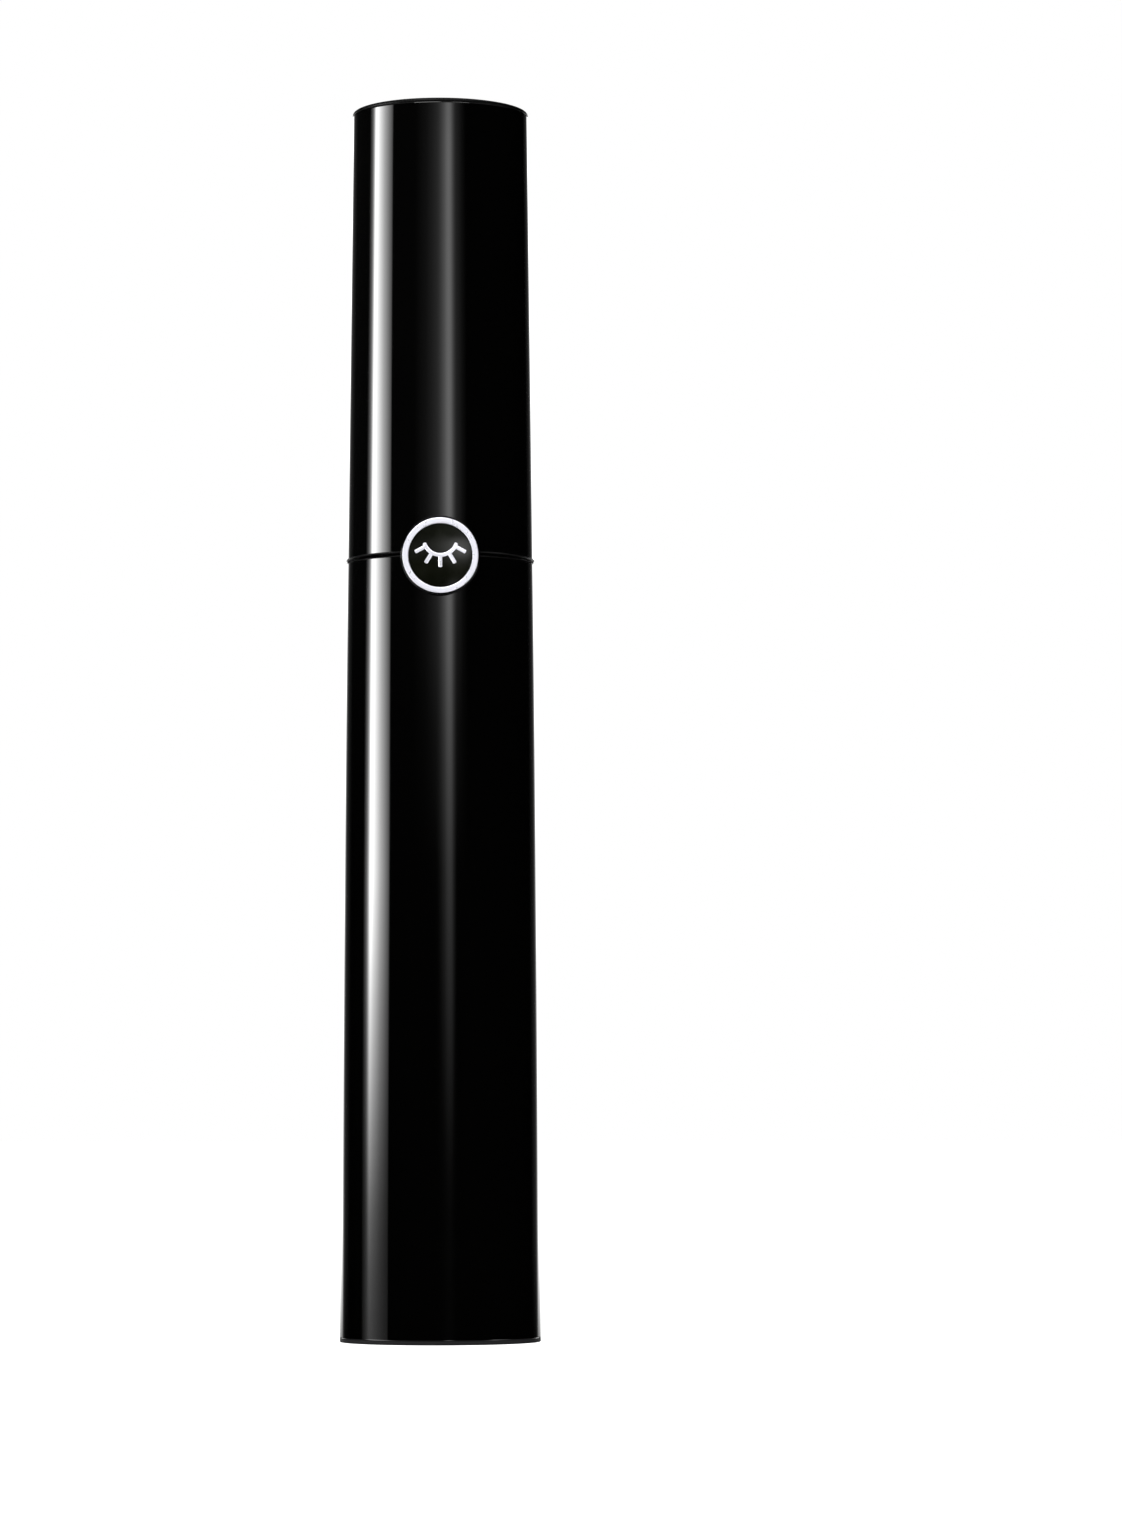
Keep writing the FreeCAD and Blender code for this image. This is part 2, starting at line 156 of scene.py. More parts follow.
def outline(*corners, closed=True):
    """(radius, height) points of a profile from corners (r, z) or (r, z, rounding).
    A rounded corner is the rational quadratic curve through corner + t a, corner, corner + t b with
    weights 1, cos(half turn), 1, which is exactly a circular arc; t = rounding x tan(half turn)."""
    at = np.array([c[:2] for c in corners], float)
    rounding = np.array([c[2] if len(c) > 2 else 0.0 for c in corners])
    before, after = np.roll(at, 1, 0) - at, np.roll(at, -1, 0) - at
    before /= np.linalg.norm(before, axis=1)[:, None] + 1e-12
    after /= np.linalg.norm(after, axis=1)[:, None] + 1e-12
    half = (np.pi - np.arccos(np.clip((before * after).sum(1), -1, 1))) / 2
    reach = rounding * np.tan(half)
    s = np.linspace(0, 1, ARC_STEPS)[:, None]
    pieces = []
    for k, corner in enumerate(at):
        if rounding[k] == 0 or (not closed and k in (0, len(at) - 1)):
            pieces.append(corner[None])
            continue
        start, end = corner + reach[k] * before[k], corner + reach[k] * after[k]
        weight = 2 * np.cos(half[k]) * s * (1 - s)
        arc = ((1 - s) ** 2 * start + weight * corner + s ** 2 * end) / ((1 - s) ** 2 + weight + s ** 2)
        pieces += [(start + HOLD * before[k])[None], arc, (end + HOLD * after[k])[None]]
    return np.concatenate(pieces)


def turned(name, profile, columns=256, closed=True, ripple=None, place=None):
    """Surface of revolution: x = r cos a, y = r sin a, z = z. ripple(a, r, z) adds to the radius,
    and place moves the finished points. The outline runs up the outside and down the inside."""
    a = np.linspace(0, 2 * np.pi, columns, endpoint=False)[None, :]
    r, z = profile[:, :1] + 0 * a, profile[:, 1:] + 0 * a
    if ripple is not None:
        r = r + ripple(a + 0 * r, r, z)
    points = np.stack([r * np.cos(a), r * np.sin(a), z], axis=-1)
    return skin(name, points if place is None else place(points), around=True, along=closed)


# %% [markdown]
# ## Colours, nodes and finishes
# Colours are written as sRGB hex, as a designer reads them, and turned into linear light once.
# A material starts as a Principled shader with plain values on its own sockets. Small node
# patterns then vary roughness and bump at the real scale of the surface.

# %% Colour and node helpers
def linear(code):
    """sRGB hex to linear RGBA: c / 12.92 for dark values, ((c + 0.055) / 1.055) ^ 2.4 above."""
    c = np.array([int(code[k:k + 2], 16) for k in (1, 3, 5)]) / 255
    c = np.where(c <= 0.04045, c / 12.92, ((c + 0.055) / 1.055) ** 2.4)
    return (*c.tolist(), 1.0)


def add(tree, kind, settings=(), **inputs):
    """Adds a node. settings are its properties; inputs are sockets by name (spaces as _) or by
    place (i0, i1, ...), each linked to a socket or set to a value."""
    made = tree.nodes.new(kind)
    for key, value in dict(settings).items():
        setattr(made, key, value)
    names = [s.name.replace(" ", "_") for s in made.inputs]
    for key, value in inputs.items():
        numbered = key[0] == "i" and key[1:].isdigit()
        socket = made.inputs[int(key[1:]) if numbered else names.index(key)]
        if isinstance(value, bpy.types.NodeSocket):
            tree.links.new(value, socket)
        else:
            socket.default_value = value
    return made


def calc(tree, operation, *values):
    """Result of a Math node with this operation on these sockets and numbers, in order."""
    places = {"i%d" % k: value for k, value in enumerate(values)}
    return add(tree, "ShaderNodeMath", {"operation": operation}, **places).outputs[0]


def finish(name, code, roughness, **shader):
    """A material with a Principled shader of this colour and roughness. Returns material, tree
    and shader, for the patterns to be added."""
    made = bpy.data.materials.new(name)
    made.use_nodes = True
    tree = made.node_tree
    principled = tree.nodes["Principled BSDF"]
    principled.inputs["Base Color"].default_value = linear(code)
    principled.inputs["Roughness"].default_value = roughness
    for key, value in shader.items():
        principled.inputs[key.replace("_", " ")].default_value = value
    return made, tree, principled


def mottle(tree, grain_mm, low, high, detail=2.0, stretch=(1, 1, 1)):
    """Noise with a grain of so many millimetres, mapped from low to high."""
    where = add(tree, "ShaderNodeTexCoord").outputs["Object"]
    where = add(tree, "ShaderNodeMapping", Vector=where, Scale=stretch).outputs["Vector"]
    noise = add(tree, "ShaderNodeTexNoise", Vector=where, Scale=1 / (grain_mm * MM), Detail=detail)
    fac = noise.outputs["Fac"]
    return add(tree, "ShaderNodeMapRange", i0=fac, i1=0.3, i2=0.7, i3=low, i4=high).outputs[0]


def relief(tree, principled, height, depth_mm):
    """Bump of so many millimetres from a height pattern."""
    bump = add(tree, "ShaderNodeBump", Height=height, Distance=depth_mm * MM, Strength=1.0)
    tree.links.new(bump.outputs["Normal"], principled.inputs["Normal"])


print("black", linear("#0A0A0B")[:3])

# %% [markdown]
# ## The camera
# A long lens, low down in front of the tube and tilted up a little, as for a pack shot of a tall
# thin thing: uprights stay nearly parallel, and the seam and the base show as shallow arcs. The
# camera stands straight in front of the axis and is turned a little to the right, which leaves
# the right half of the frame free.

# %% Camera
LENS, FILM = 122.5, 36.0
camera_data = bpy.data.cameras.new("pack_shot")
camera_data.lens, camera_data.sensor_width = LENS, FILM
camera_data.clip_start, camera_data.clip_end = 0.01, 50.0
camera = bpy.data.objects.new("pack_shot", camera_data)
camera.location = (0.0, -0.559, 0.0220)
yaw, tilt, roll = math.radians(-1.325), math.radians(94.006), math.radians(-0.093)
camera.matrix_world = (Matrix.Translation(camera.location) @ Matrix.Rotation(yaw, 4, "Z")
                       @ Matrix.Rotation(tilt, 4, "X") @ Matrix.Rotation(roll, 4, "Z"))
bpy.context.scene.collection.objects.link(camera)
bpy.context.scene.camera = camera
bpy.context.scene.view_settings.view_transform = "Standard"
print("camera", [round(c, 3) for c in camera.location])

# %% [markdown]
# ## The studio
# The room is white. What a gloss black cylinder shows of it is a strip per light, because the
# direction that it reflects turns twice as fast as its surface. So the lights are described the way
# a studio is laid out: by the compass direction that they stand in, seen from the pack.
# Three things stand in the dark part of the room: a tall bright softbox on the left, bright at
# its far edge and fading towards the camera; a weak narrow strip nearly behind the camera; and
# the lit white wall behind the pack, which only the outermost edges reflect.
# Seen from above, the pack mirrors what lies below the horizon: the same boxes once more in
# the polished table, with fainter ones for the sides and the back. The flat top mirrors a pale
# ceiling instead.
# The world shader draws them for glossy rays only. The eye sees plain white, and matt surfaces get
# even light.

# %% World
world = bpy.data.worlds.new("white_studio")
bpy.context.scene.world = world
world.use_nodes = True
sky = world.node_tree
sky.nodes.clear()
direction = add(sky, "ShaderNodeSeparateXYZ", Vector=add(sky, "ShaderNodeTexCoord").outputs["Generated"])
compass = calc(sky, "ARCTAN2", direction.outputs["X"], calc(sky, "MULTIPLY", direction.outputs["Y"], -1.0))
height = calc(sky, "ARCSINE", direction.outputs["Z"])


def profile_of(angle, low, high, stops, ease="LINEAR"):
    """Brightness along an angle, from stops (degrees, value) between low and high."""
    place = add(sky, "ShaderNodeMapRange", i0=angle, i1=math.radians(low), i2=math.radians(high))
    ramp = add(sky, "ShaderNodeValToRGB", Fac=place.outputs[0])
    ramp.color_ramp.interpolation = ease
    marks = ramp.color_ramp.elements
    for k, (degrees, value) in enumerate(stops):
        mark = marks[k] if k < 2 else marks.new(1.0)
        mark.position = (degrees - low) / (high - low)
        mark.color = (value, value, value, 1)
    return ramp.outputs["Color"]


def times(*values):
    """Product of sockets and numbers."""
    total = values[0]
    for value in values[1:]:
        total = calc(sky, "MULTIPLY", total, value)
    return total


def plus(*values):
    """Sum of sockets."""
    total = values[0]
    for value in values[1:]:
        total = calc(sky, "ADD", total, value)
    return total


slant = add(sky, "ShaderNodeMapRange", i0=height, i1=math.radians(4), i2=math.radians(12), i3=0.0,
            i4=math.radians(2.6))
left_box = profile_of(plus(compass, slant.outputs[0]), -110, -56, [
    (-103, 0), (-100.9, .006), (-97.2, .05), (-95.3, .115), (-93.4, .28), (-91.6, .6), (-89.7, .85),
    (-88, .78), (-84.5, .61), (-79, .42), (-74.7, .28), (-70, .18), (-66.4, .11), (-63.4, .06),
    (-62, .01), (-61.5, 0)])
left_foot = profile_of(compass, -110, -56, [
    (-103, 0), (-97, .4), (-90, 1), (-86, 1), (-77, .7), (-68, .42), (-63.4, .32), (-62.6, 0)])
left_rise = profile_of(height, -3, 20, [
    (-2.2, .01), (-1.4, .03), (-.5, .085), (.46, .24), (1.4, .44), (2.0, .58), (2.8, .82), (3.6, 1), (6, 1),
    (11, .87), (13, .85), (17, 0)])
foot_rise = profile_of(height, -3, 5, [(-2.5, 1), (4, 0)])
narrow = profile_of(compass, -34, 34, [
    (-5, 0), (-2, .045), (1, .15), (5, .42), (8, .82), (10.5, 1), (13, .85), (15.5, .32), (18, .04),
    (20, 0)])
wide = profile_of(compass, -34, 34, [
    (-33, .01), (-26, .045), (-18, .09), (-10.6, .2), (-2.7, .4), (5, .8), (10, 1), (14, .8),
    (20, .28), (27, .08), (33, 0)])
narrow_rise = profile_of(height, -2, 26, [
    (-1, .01), (0, .03), (.9, .085), (1.7, .17), (2.8, .3), (3.9, .42), (5.1, .6), (5.8, .72),
    (7.4, .93), (9, 1), (12.5, 1), (16, .1), (24, .04)])
wide_rise = profile_of(height, -2, 26, [
    (3, 0), (3.9, .02), (5.8, .28), (7.4, .8), (8.5, 1), (12.5, 1), (16, .1), (24, .04)])
behind = calc(sky, "ABSOLUTE", calc(sky, "ARCTAN2", direction.outputs["X"], direction.outputs["Y"]))
raised = add(sky, "ShaderNodeClamp", Value=height, Min=math.radians(2.8), Max=math.radians(12))
lean = calc(sky, "MULTIPLY_ADD", raised.outputs[0], 1.09, math.radians(-4.1))
back_wall = profile_of(plus(behind, lean), 0, 60, [
    (24, 1), (27, .6), (30, .16), (34, .03), (40, .012), (50, 0)])
back_rise = profile_of(height, -7, 18, [
    (-3.2, 0), (-2.2, .16), (-1.7, .42), (-.9, 1), (11.3, 1), (12.6, 0)])
floor_glow = profile_of(height, -40, 0, [(-32, 1), (-14, 0)])
round_about = profile_of(compass, -180, 180, [
    (-172, 0), (-160, .4), (-148, 0), (-99, 0), (-91, 1), (-64, .12), (-61, 0), (3, 0), (10, .4), (17, 0),
    (61, 0), (66, .5), (88, .1), (94, 0), (146, 0), (156, .5), (170, 0)])
ceiling = profile_of(height, 20, 90, [(35, 0), (55, 1)])
mirrored = profile_of(height, -60, 0, [(-52, 0), (-40, .6), (-12, 1), (-6, 0)])
# Each light: where it stands, how high it reaches, and its strength.
lights = [(left_box, left_rise, 33.6), (left_foot, foot_rise, 0.75), (narrow, narrow_rise, 1.9),
          (wide, wide_rise, 1.27), (back_wall, back_rise, 4.2), (floor_glow, 0.35),
          (round_about, mirrored, 9.0), (ceiling, 0.7)]
room = plus(*[times(*light) for light in lights])
path = add(sky, "ShaderNodeLightPath")
seen = add(sky, "ShaderNodeMix", {"data_type": "FLOAT"}, i0=path.outputs["Is Glossy Ray"], i2=1.0, i3=room)
strength = add(sky, "ShaderNodeMix", {"data_type": "FLOAT"}, i0=path.outputs["Is Camera Ray"],
               i2=seen.outputs[0], i3=1.0)
background = add(sky, "ShaderNodeBackground", Strength=strength.outputs[0], Color=(1, 1, 1, 1))
add(sky, "ShaderNodeOutputWorld", Surface=background.outputs[0])
world.cycles.sampling_method = "NONE"
print("studio with", len(sky.nodes), "world nodes")

# %% [markdown]
# The floor is plain matt white and glows a little, so that only a breath of shadow is left under
# the pack. A large soft lamp high in front lights what isn't glossy: the silver of the medallion,
# the brush and the label. It stands too high for the upright walls to mirror it.

# %% Floor and lamp
def plain_box(name, width, z):
    """A flat square at height z, as a 2 x 2 grid of points."""
    x, y = np.meshgrid([-width / 2, width / 2], [-width / 2, width / 2])
    return skin(name, np.stack([x, y, 0 * x + z], axis=-1) / MM, around=False)


floor = plain_box("floor", 30.0, -0.00002)
paper, tree, principled = finish("white_paper_floor", "#E6E6E6", 0.9, Emission_Strength=0.82)
principled.inputs["Emission Color"].default_value = (1, 1, 1, 1)
principled.inputs["Specular IOR Level"].default_value = 0.0
floor.data.materials.append(paper)
floor.visible_glossy = False

for name, place, size, power in (("high_lamp", (-0.22, -0.62, 0.66), 0.45, 5.0),
                                 ("side_fill", (0.34, -0.60, 0.64), 0.30, 1.5)):
    lamp = bpy.data.objects.new(name, bpy.data.lights.new(name, "AREA"))
    lamp.data.size, lamp.data.energy = size, power
    lamp.location = place
    lamp.rotation_euler = (Vector((0, 0, 0.075)) - Vector(place)).to_track_quat("-Z", "Y").to_euler()
    bpy.context.scene.collection.objects.link(lamp)
print("floor and lamps placed")

# %% [markdown]
# ## Finishes
# *Black lacquer.* The tube and the cap are injection moulded ABS, sprayed with a clear gloss
# coat over black. The eye reads it as wet: a mirror with a black body, and so smooth that only a
# trace of orange peel, waves of about a millimetre and a few nanometres deep, softens the edge of a
# reflection. The very lips of the seam are bare plastic, because the coat is trimmed off there to
# keep the joint clean: a dull dark line where the gloss stops. The rim of the top disc is as dull.

# %% Lacquer
LIP = 0.26                  # height of the bare lip at each side of the seam's middle
BARE_ROUGHNESS, BARE_SPECULAR = 0.42, 0.12


def lacquer(name):
    """Clear gloss over black. The gloss gives way to bare satin plastic where |z - seam| < LIP, and on
    the rim of the top disc, where z > HEIGHT - END_RIM and the distance to the axis > TOP_R - LIP."""
    made, tree, principled = finish(name, "#010101", 0.045, IOR=1.5)
    at = add(tree, "ShaderNodeSeparateXYZ", Vector=add(tree, "ShaderNodeTexCoord").outputs["Object"])
    off = calc(tree, "ABSOLUTE", calc(tree, "SUBTRACT", at.outputs["Z"], SEAM * MM))
    lip = add(tree, "ShaderNodeMapRange", Value=off, i1=LIP * MM, i2=(LIP + 0.05) * MM, i3=1.0, i4=0.0)
    flat = add(tree, "ShaderNodeCombineXYZ", X=at.outputs["X"], Y=at.outputs["Y"])
    reach = add(tree, "ShaderNodeVectorMath", {"operation": "LENGTH"}, i0=flat.outputs[0]).outputs["Value"]
    top = calc(tree, "GREATER_THAN", at.outputs["Z"], (HEIGHT - END_RIM) * MM)
    rim = add(tree, "ShaderNodeMapRange", Value=reach, i1=(TOP_R - LIP - 0.03) * MM, i2=(TOP_R - LIP) * MM)
    bare = calc(tree, "MAXIMUM", lip.outputs[0], calc(tree, "MULTIPLY", top, rim.outputs[0]))
    rough = add(tree, "ShaderNodeMix", {"data_type": "FLOAT"}, i0=bare, i2=mottle(tree, 6.0, 0.035, 0.06),
                i3=BARE_ROUGHNESS)
    tree.links.new(rough.outputs[0], principled.inputs["Roughness"])
    gloss = add(tree, "ShaderNodeMapRange", Value=bare, i3=0.5, i4=BARE_SPECULAR)
    tree.links.new(gloss.outputs[0], principled.inputs["Specular IOR Level"])
    relief(tree, principled, mottle(tree, 1.4, 0.0, 1.0, detail=1.0), 0.00012)
    return made


tube_lacquer, cap_lacquer = lacquer("sprayed_gloss_lacquer_tube"), lacquer("sprayed_gloss_lacquer_cap")

# %% [markdown]
# *Moulded plastics.* The collar, the bottle's neck and the inner cap are polypropylene: black, waxy,
# less shiny than the lacquer, with the faint grain of a spark-eroded mould. The rod is polished
# by its mould. The base disc is a dull dark satin, rim and underside alike.
# *Soft parts.* The wiper and the washer are elastomer: a soft satin without hard highlights.

# %% Plastics and soft parts
def moulded(name, code, low, high, grain=0.12, depth=0.0015, **shader):
    """Moulded plastic: roughness wanders between low and high, and the mould leaves a fine grain."""
    made, tree, principled = finish(name, code, high, **shader)
    tree.links.new(mottle(tree, 2.5, low, high), principled.inputs["Roughness"])
    relief(tree, principled, mottle(tree, grain, 0.0, 1.0, detail=3.0), depth)
    return made


collar_plastic = moulded("satin_polypropylene_collar", "#0B0B0C", 0.28, 0.36)
bottle_plastic = moulded("polypropylene_bottle", "#0D0D0E", 0.30, 0.40)
inner_plastic = moulded("polypropylene_inner_cap", "#141415", 0.34, 0.45)
rod_plastic = moulded("polished_acetal_rod", "#070708", 0.06, 0.10, grain=1.2, depth=0.0001, IOR=1.48)
base_plastic = moulded("satin_abs_base", "#19191A", 0.45, 0.55, Specular_IOR_Level=0.02)
coin_plastic = moulded("gloss_abs_medallion", "#040405", 0.06, 0.09, grain=0.9, depth=0.0001)
wiper_rubber = moulded("soft_elastomer_wiper", "#262627", 0.42, 0.52, grain=0.2, depth=0.002, IOR=1.45)
washer_rubber = moulded("satin_elastomer_washer", "#1C1C1D", 0.45, 0.55, grain=0.2, depth=0.002)

# %% [markdown]
# *Silver and resin.* The ring and the sign are plated silver with a fine satin: bright from every
# side, white where the lamp falls on them and cool grey below. The field inside the ring is a drop
# of clear resin over a near-black olive print: very smooth, with a soft deep glow instead of
# a hard mirror.

# %% Silver, resin, steel, nylon, film
silver, tree, principled = finish("satin_silver_plate", "#EDEDF6", 0.30, Metallic=0.72)
tree.links.new(mottle(tree, 0.35, 0.26, 0.36, stretch=(1, 1, 0.4)), principled.inputs["Roughness"])
relief(tree, principled, mottle(tree, 0.25, 0.0, 1.0), 0.0006)

resin, tree, principled = finish("poured_resin_over_olive_black", "#080906", 0.10, IOR=1.38)
depth_tint = add(tree, "ShaderNodeMix", {"data_type": "RGBA"}, i0=mottle(tree, 3.0, 0.0, 1.0),
                 i6=linear("#050603"), i7=linear("#0C0D08"))
tree.links.new(depth_tint.outputs[2], principled.inputs["Base Color"])
tree.links.new(mottle(tree, 1.5, 0.08, 0.14), principled.inputs["Roughness"])

turned_steel, tree, principled = finish("plain_turned_steel", "#A5A5A3", 0.32, Metallic=1.0)
tree.links.new(mottle(tree, 0.5, 0.25, 0.4, stretch=(1, 1, 12)), principled.inputs["Roughness"])
relief(tree, principled, mottle(tree, 0.3, 0.0, 1.0, stretch=(1, 1, 12)), 0.002)

bright_wire, tree, principled = finish("drawn_bright_wire", "#8E8F92", 0.24, Metallic=1.0)
tree.links.new(mottle(tree, 0.2, 0.18, 0.34), principled.inputs["Roughness"])

nylon, tree, principled = finish("black_nylon_fibre", "#0B0B0C", 0.30, IOR=1.53)
tree.links.new(mottle(tree, 0.5, 0.22, 0.4), principled.inputs["Roughness"])

film, tree, principled = finish("satin_label_film", "#C9C9C6", 0.42)
where = add(tree, "ShaderNodeTexCoord").outputs["Object"]
spread = add(tree, "ShaderNodeVectorMath", {"operation": "LENGTH"}, i0=where).outputs["Value"]
LINE_R, LINE_HALF = 7.55, 0.12          # the fine dark circle near the film's edge
border = calc(tree, "COMPARE", spread, LINE_R * MM, LINE_HALF * MM)
ink = add(tree, "ShaderNodeMix", {"data_type": "RGBA"}, i0=border, i6=linear("#C9C9C6"),
          i7=linear("#3A3A3A"))
tree.links.new(ink.outputs[2], principled.inputs["Base Color"])
relief(tree, principled, mottle(tree, 0.15, 0.0, 1.0), 0.002)
print("materials", len(bpy.data.materials))


# %% [markdown]
# ## Putting a piece in place
# A finished skin takes its material, rides on its body and stands for its CAD node. The print compares its
# box with the CAD node's box.

# %% Helper that registers a piece
def fit(piece, body, node, material):
    """Gives the piece its material and its place in the frame, and prints how far its box is off."""
    piece.data.materials.append(material)
    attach(piece, body)
    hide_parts(node)
    at = np.zeros(len(piece.data.vertices) * 3, np.float32)
    piece.data.vertices.foreach_get("co", at)
    at = at.reshape(-1, 3)
    off = np.array([at.min(0), at.max(0)]) - np.array([list(c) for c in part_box(node)])
    print("%-22s %6d faces, box off by %.3f mm"
          % (piece.name, len(piece.data.polygons), 1000 * np.abs(off).max()))


# %% [markdown]
# ## Outer tube, cap and their end discs
# The wall of the tube takes 40 rows between foot and seam, enough for its slow curve. At the seam
# both parts end in a small rounded edge, with a shadow gap of 0.2 mm between them. At the base
# and the top a thin disc closes the part, and a fine groove shows where the two meet.

# %% Outer tube and base
tube_low, tube_high = span("outer_tube")
wall_z = np.linspace(tube_low + 0.4, tube_high - 0.5, 40)
wall = [(tube_radius(z), z) for z in wall_z]
fit(turned("outer_tube_skin", outline(
    (TUBE_BORE, tube_low), (tube_radius(tube_low), tube_low, 0.10), *wall,
    (tube_radius(tube_high), tube_high, 0.20), (TUBE_BORE, tube_high, 0.12))),
    "tube", "outer_tube", tube_lacquer)

spigot_r = TUBE_BORE - SNUG
RECESS_R, FILM_R, SPIGOT_WALL = 8.29, 8.24, 1.2
plug_top = span("base_plug")[1]
fit(turned("base_disc", outline(
    (0, 0.30), (RECESS_R, 0.30, 0.04), (RECESS_R, 0, 0.06), (BASE_R, 0, 0.10), (BASE_R, END_RIM, 0.04),
    (spigot_r, END_RIM), (spigot_r, plug_top, 0.15), (spigot_r - SPIGOT_WALL, plug_top, 0.15),
    (spigot_r - SPIGOT_WALL, 1.30, 0.2), (0, 1.30), closed=False), closed=False),
    "tube", "base_plug", base_plastic)

label_low, label_high = span("base_label")
fit(turned("base_film", outline(
    (0, label_low), (FILM_R, label_low, 0.03), (FILM_R, label_high, 0.03), (0, label_high), closed=False),
    closed=False), "tube", "base_label", film)

# %% Cap shell and top disc
cap_low, cap_high = span("cap_shell")
fit(turned("cap_skin", outline(
    (CAP_BORE, cap_low, 0.10), (cap_radius(cap_low), cap_low, 0.20), (cap_radius(cap_high), cap_high, 0.10),
    (CAP_BORE, cap_high))),
    "cap", "cap_shell", cap_lacquer)

disc_low = span("cap_top_disc")[0]
fit(turned("cap_end_disc", outline(
    (0, cap_high), (CAP_BORE - 1.22, cap_high), (CAP_BORE - 1.22, disc_low, 0.15),
    (CAP_BORE - SNUG, disc_low, 0.15), (CAP_BORE - SNUG, cap_high), (cap_radius(cap_high), cap_high, 0.10),
    (TOP_R, HEIGHT, 0.25), (0, HEIGHT), closed=False), closed=False),
    "cap", "cap_top_disc", cap_lacquer)

# %% [markdown]
# ## Screw threads
# A thread is a bead that climbs as it goes round. On a turned wall it is only a change of
# radius, so it is worked out on the same grid: at each point the distance in height to
# the bead's middle gives a flat-topped ridge, and it fades out at its two ends. The neck carries it
# outside, the inner cap inside.

# %% Thread as a ripple on the lathe grid
PITCH, TURNS, DEPTH, WIDTH = 3.0, 1.5, 0.45, 1.3
THREAD_FOOT = SEAM + 2.2


def bead(a, z):
    """Ridge height: DEPTH x clip((WIDTH/2 - |dz|) / slope, 0, 1), dz being the distance to the line
    z = foot + PITCH x turns, and faded over the first and last twentieth of a turn."""
    high = np.zeros_like(z)
    for lap in range(int(TURNS) + 1):
        turn = a / (2 * np.pi) + lap
        dz = np.abs(z - THREAD_FOOT - PITCH * turn)
        ridge = np.clip((WIDTH / 2 - dz) / (WIDTH * 0.375), 0, 1)
        fade = np.clip(np.minimum(turn, TURNS - turn) / 0.04, 0, 1)
        high = np.maximum(high, ridge * fade)
    return DEPTH * high


def thread_rows(r):
    """Dense rows for the thread, from under its start to over its end."""
    low, high = THREAD_FOOT - WIDTH / 2 - 0.1, THREAD_FOOT + PITCH * TURNS + WIDTH / 2 + 0.1
    return [(r, z) for z in np.arange(low, high, 0.11)]


# %% Bottle, collar, wiper, washer
NECK_R, NECK_BORE, BOTTLE_R = 5.55, 4.45, 8.70
bottle_low, neck_top = span("bottle")
shoulder = SEAM - 3.0
fit(turned("bottle_skin", outline(
    (0, bottle_low), (BOTTLE_R, bottle_low, 0.9), (BOTTLE_R, shoulder - 1.6, 0.3), (NECK_R, shoulder, 0.2),
    *thread_rows(NECK_R), (NECK_R, neck_top, 0.10), (NECK_BORE, neck_top, 0.10),
    (NECK_BORE, shoulder - 0.9, 0.2), (BOTTLE_R - 0.9, shoulder - 2.5, 0.2),
    (BOTTLE_R - 0.9, bottle_low + 1.2, 0.4), (0, bottle_low + 1.2), closed=False), columns=192, closed=False,
    ripple=lambda a, r, z: np.where(np.abs(r - NECK_R) < 0.01, bead(a, z), 0.0)),
    "tube", "bottle", bottle_plastic)

collar_low, collar_high = span("neck_collar")
fit(turned("collar_skin", outline(
    (NECK_R + 0.05, collar_low), (TUBE_BORE - SNUG, collar_low), (TUBE_BORE - SNUG, collar_high, 0.10),
    (NECK_R + 0.05, collar_high, 0.06))), "tube", "neck_collar", collar_plastic)

wiper_high = span("wiper")[1]
plug_low = neck_top - 8.0
WIPE_R, WIPE_OUTER_R, FUNNEL_R, PLUG_R = 1.83, 2.43, 3.83, 4.43
fit(turned("wiper_skin", outline(
    (WIPE_R, plug_low - 2.6, 0.12), (WIPE_OUTER_R, plug_low - 2.6, 0.12), (PLUG_R, plug_low, 0.3),
    (PLUG_R, neck_top), (NECK_R - 0.05, neck_top, 0.08), (NECK_R - 0.05, wiper_high, 0.18),
    (FUNNEL_R, wiper_high, 0.25), (FUNNEL_R, plug_low + 0.7, 0.4), (WIPE_R, plug_low - 1.9, 0.12)),
    columns=160),
    "tube", "wiper", wiper_rubber)

washer_low, washer_high = span("seal_washer")
WASHER_HOLE_R, WASHER_R = 6.96, 8.31
fit(turned("washer_skin", outline(
    (WASHER_HOLE_R, washer_low, 0.10), (WASHER_R, washer_low, 0.10),
    (WASHER_R, washer_high, 0.10), (WASHER_HOLE_R, washer_high, 0.10)),
    columns=192), "washer", "seal_washer", washer_rubber)

# %% Inner cap and weight
inner_low, inner_high = span("inner_cap")
GRIP_R, WAIST_R, THREAD_R, SOCKET_R = CAP_BORE - SNUG, 7.6, 6.5, 2.62
roof = wiper_high + 0.2
fit(turned("inner_cap_skin", outline(
    (THREAD_R, inner_low, 0.15), (GRIP_R, inner_low, 0.12), (GRIP_R, inner_low + 2.4),
    (WAIST_R, inner_low + 2.4, 0.2),
    (WAIST_R, roof - 1.0, 0.2), (GRIP_R, roof - 1.0), (GRIP_R, roof + 1.4), (SOCKET_R + 1, roof + 1.4, 0.3),
    (SOCKET_R + 1, inner_high, 0.2), (0, inner_high), (0, inner_high - 1.0), (SOCKET_R, inner_high - 1.0),
    (SOCKET_R, roof), (THREAD_R, roof, 0.3), *thread_rows(THREAD_R)[::-1]), columns=192, closed=True,
    ripple=lambda a, r, z: np.where((np.abs(r - THREAD_R) < 0.01) & (z < roof - 0.5), -bead(a, z), 0.0)),
    "cap", "inner_cap", inner_plastic)
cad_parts["cap_weight"].data.materials.clear()
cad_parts["cap_weight"].data.materials.append(turned_steel)

# %% [markdown]
# ## Rod and twisted wire
# The rod is a slim straight stem with a rounded end that grips the brush wire. The wire of a mascara
# brush is one length folded in two and twisted, with the fold left as a tiny loop at the tip. So
# its middle line is a double helix joined by a half turn, and a circle is carried along it.

